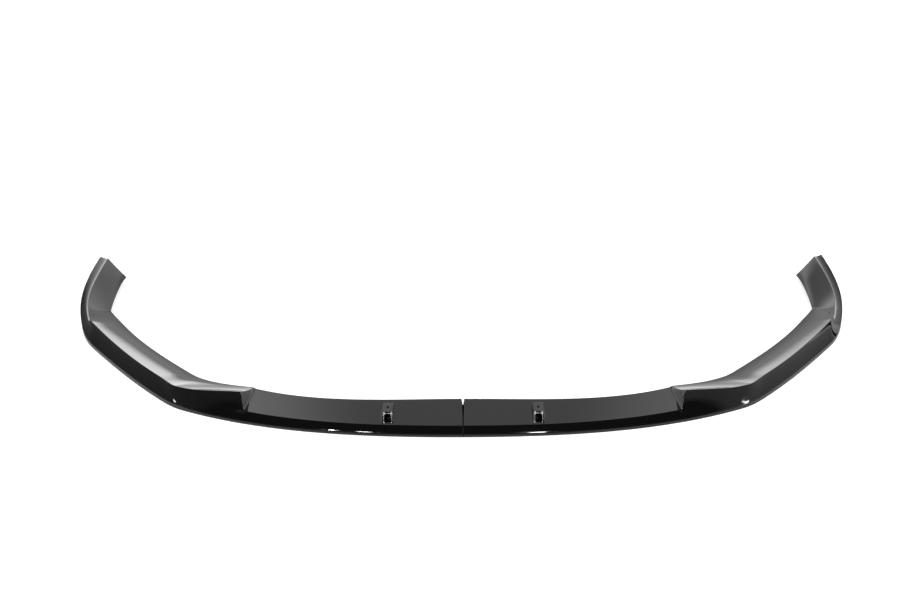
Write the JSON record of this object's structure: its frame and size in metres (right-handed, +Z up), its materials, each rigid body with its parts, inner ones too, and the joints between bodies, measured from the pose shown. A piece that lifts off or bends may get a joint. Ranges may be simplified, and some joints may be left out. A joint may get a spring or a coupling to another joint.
{
  "type": "front splitter lip",
  "caption": "Gloss black front splitter lip in two butted halves: a flat tray with screw bosses between raised, hollow wings that wrap round the corners.",
  "frame": {"origin": "middle of the bounding box in plan, at the height of the lower edge", "axes": "+X to the right as seen from in front of the part with +Z up and the nose facing -Y; the seam lies in the plane X = 0; the side arms point to +Y"},
  "size_m": [1.7778, 0.589, 0.064],
  "materials": {
    "gloss_black": "gloss"
  },
  "bodies": {
    "root": {"left_half": "gloss_black", "right_half": "gloss_black"}
  },
  "joints": []
}
